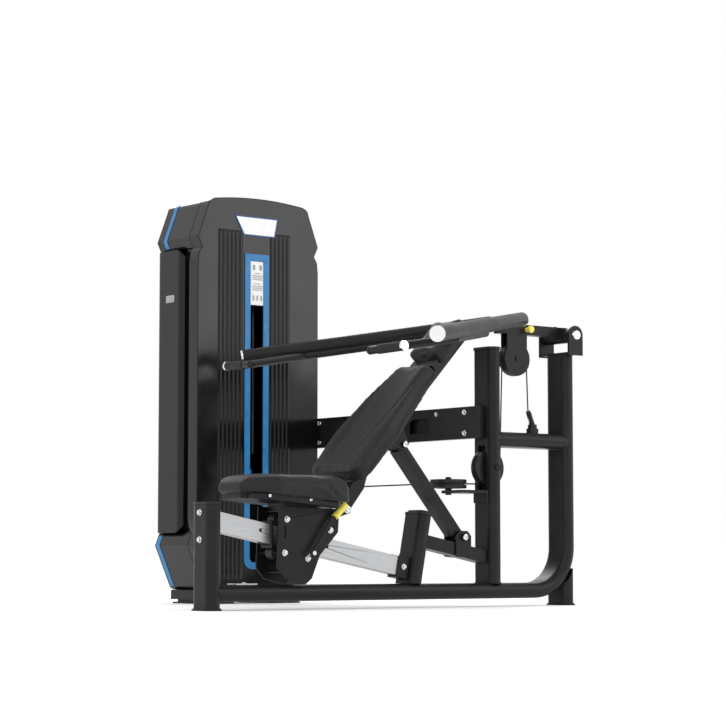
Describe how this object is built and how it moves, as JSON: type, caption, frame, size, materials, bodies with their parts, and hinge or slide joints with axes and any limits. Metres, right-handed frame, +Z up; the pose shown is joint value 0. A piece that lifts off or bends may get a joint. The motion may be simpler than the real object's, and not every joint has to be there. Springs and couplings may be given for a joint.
{
  "type": "adjustable chest press machine",
  "caption": "Selectorised press machine: seat carriage on an inclined rail, reclining back pad, swinging V press arms and a shrouded weight tower.",
  "frame": {"origin": "middle of the front post's anchor plate, on the floor", "axes": "+X along the bench towards its rear, +Y towards the weight tower, +Z up"},
  "size_m": [1.7916, 1.9371, 1.688],
  "materials": {
    "black_steel": "satin powder coat",
    "stainless": "brushed",
    "chrome": "polished",
    "gloss_shell": "gloss",
    "black_plastic": "matte",
    "cast_weights": "painted",
    "rubber": "matte",
    "blue_plastic": "satin",
    "cable_sheath": "satin",
    "leather": "fine grain",
    "yellow_plastic": "satin"
  },
  "bodies": {
    "frame": {"base_tube": "black_steel", "front_post": "black_steel", "main_post": "black_steel", "link_tube": "black_steel", "foot_plates": "black_steel", "rail": "stainless", "rail_brackets": "black_steel", "rail_post": "black_steel", "slant_tube": "black_steel", "strut_clevis": "black_steel", "pivot_bracket": "black_steel", "pivot_shaft": "chrome", "cable_anchor": "black_plastic", "pulley_plate": "black_steel", "cable_duct": "black_steel", "frame_bolts": "chrome", "tube_plugs": "black_plastic", "tower_base": "black_steel", "tower_frame": "black_steel", "guide_rods": "chrome", "weight_plates": "cast_weights", "stack_buffers": "rubber", "front_shroud": "gloss_shell", "rear_shroud": "gloss_shell", "upper_cap": "gloss_shell", "lower_cap": "gloss_shell", "blue_trims": "blue_plastic", "pull_cable": "cable_sheath", "run_cable": "cable_sheath", "stack_cable": "cable_sheath"},
    "carriage": {"carriage_near": "black_steel", "carriage_far": "black_steel", "carriage_bridge": "black_steel", "carriage_bolts": "chrome", "seat_plate": "black_steel", "seat_pad": "leather"},
    "lock_lever": {"lock_lever": "black_steel", "lever_grip": "yellow_plastic"},
    "backrest": {"back_frame": "black_steel", "back_pad": "leather", "head_pad": "leather"},
    "strut": {"strut": "black_steel"},
    "press_arm": {"mast": "black_steel", "arm_near": "black_steel", "arm_far": "black_steel", "hand_grips": "rubber", "arm_caps": "chrome"},
    "pop_pin": {"pop_pin": "yellow_plastic"},
    "weights": {"stack_head": "chrome"},
    "selector_pin": {"selector_pin": "blue_plastic"},
    "moving_pulley": {"moving_pulley": "black_plastic"},
    "post_pulley": {"post_pulley": "black_plastic"},
    "turn_pulley": {"turn_pulley": "black_plastic"},
    "low_pulley": {"low_pulley": "black_plastic"},
    "top_pulley_in": {"top_pulley_in": "black_plastic"},
    "top_pulley_out": {"top_pulley_out": "black_plastic"},
    "roller_top_front": {"roller_top_front": "black_plastic"},
    "roller_top_rear": {"roller_top_rear": "black_plastic"},
    "roller_low_front": {"roller_low_front": "black_plastic"},
    "roller_low_rear": {"roller_low_rear": "black_plastic"}
  },
  "joints": [
    {"name": "press_arm_swing", "type": "hinge", "parent": "frame", "child": "press_arm", "pos_m": [1.715, 0, 1.077], "axis": [0, 1, 0], "range_deg": [0, 36], "deforming": ["pull_cable"]},
    {"name": "weights_lift", "type": "slide", "parent": "frame", "child": "weights", "axis": [0, 0, 1], "range_m": [0, 0.33], "deforming": ["stack_cable"]},
    {"name": "selector_pull", "type": "slide", "parent": "weights", "child": "selector_pin", "axis": [0, -1, 0], "range_m": [0, 0.075]},
    {"name": "pop_pin_pull", "type": "slide", "parent": "press_arm", "child": "pop_pin", "axis": [0, -1, 0], "range_m": [0, 0.012], "stiffness_N_per_m": 800},
    {"name": "carriage_slide", "type": "slide", "parent": "frame", "child": "carriage", "axis": [0.982, 0, -0.1891], "range_m": [-0.1, 0.16]},
    {"name": "backrest_tilt", "type": "hinge", "parent": "carriage", "child": "backrest", "pos_m": [0.574, 0, 0.365], "axis": [0, 1, 0], "range_deg": [-18, 11.5]},
    {"name": "strut_swing", "type": "hinge", "parent": "frame", "child": "strut", "pos_m": [1.166, 0, 0.267], "axis": [0, 1, 0], "range_deg": [-7.6, 12]},
    {"name": "lock_lever_pull", "type": "hinge", "parent": "carriage", "child": "lock_lever", "pos_m": [0.402, -0.094, 0.204], "axis": [0, 1, 0], "range_deg": [0, 16], "stiffness_Nm_per_rad": 6, "springref_deg": -8.59},
    {"name": "moving_pulley_turn", "type": "hinge", "parent": "press_arm", "child": "moving_pulley", "pos_m": [1.463, 0, 0.973], "axis": [0, 1, 0], "range_deg": [0, 115]},
    {"name": "post_pulley_turn", "type": "hinge", "parent": "frame", "child": "post_pulley", "pos_m": [1.32, 0, 0.538], "axis": [0, 1, 0], "range_deg": [-295, 0]},
    {"name": "turn_pulley_turn", "type": "hinge", "parent": "frame", "child": "turn_pulley", "pos_m": [1.174, 0.064, 0.474], "axis": [0, 0, 1], "range_deg": [0, 295]},
    {"name": "low_pulley_turn", "type": "hinge", "parent": "frame", "child": "low_pulley", "pos_m": [1.11, 1.096, 0.538], "axis": [1, 0, 0], "range_deg": [-295, 0]},
    {"name": "top_pulley_in_turn", "type": "hinge", "parent": "frame", "child": "top_pulley_in", "pos_m": [1.07, 1.16, 1.49], "axis": [0, 1, 0], "range_deg": [0, 470]},
    {"name": "top_pulley_out_turn", "type": "hinge", "parent": "frame", "child": "top_pulley_out", "pos_m": [0.96, 1.16, 1.49], "axis": [0, 1, 0], "range_deg": [0, 470]},
    {"name": "roller_top_front_roll", "type": "hinge", "parent": "carriage", "child": "roller_top_front", "pos_m": [0.3001, 0, 0.32562], "axis": [0, 1, 0], "range_deg": [-240, 380]},
    {"name": "roller_top_rear_roll", "type": "hinge", "parent": "carriage", "child": "roller_top_rear", "pos_m": [0.49649, 0, 0.2878], "axis": [0, 1, 0], "range_deg": [-240, 380]},
    {"name": "roller_low_front_roll", "type": "hinge", "parent": "carriage", "child": "roller_low_front", "pos_m": [0.29006, 0, 0.20474], "axis": [0, 1, 0], "range_deg": [-380, 240]},
    {"name": "roller_low_rear_roll", "type": "hinge", "parent": "carriage", "child": "roller_low_rear", "pos_m": [0.39415, 0, 0.18469], "axis": [0, 1, 0], "range_deg": [-380, 240]}
  ],
  "couplings": [
    {"joint": "weights_lift", "follows": "press_arm_swing", "m_per_rad": 0.516},
    {"joint": "moving_pulley_turn", "follows": "press_arm_swing", "ratio": 3.1},
    {"joint": "post_pulley_turn", "follows": "press_arm_swing", "ratio": -8.06},
    {"joint": "turn_pulley_turn", "follows": "press_arm_swing", "ratio": 8.06},
    {"joint": "low_pulley_turn", "follows": "press_arm_swing", "ratio": -8.06},
    {"joint": "top_pulley_in_turn", "follows": "press_arm_swing", "ratio": 12.9},
    {"joint": "top_pulley_out_turn", "follows": "press_arm_swing", "ratio": 12.9},
    {"joint": "backrest_tilt", "follows": "carriage_slide", "rad_per_m": -1.945},
    {"joint": "strut_swing", "follows": "carriage_slide", "rad_per_m": 1.295},
    {"joint": "roller_top_front_roll", "follows": "carriage_slide", "rad_per_m": 41.152},
    {"joint": "roller_top_rear_roll", "follows": "carriage_slide", "rad_per_m": 41.152},
    {"joint": "roller_low_front_roll", "follows": "carriage_slide", "rad_per_m": -41.152},
    {"joint": "roller_low_rear_roll", "follows": "carriage_slide", "rad_per_m": -41.152}
  ]
}
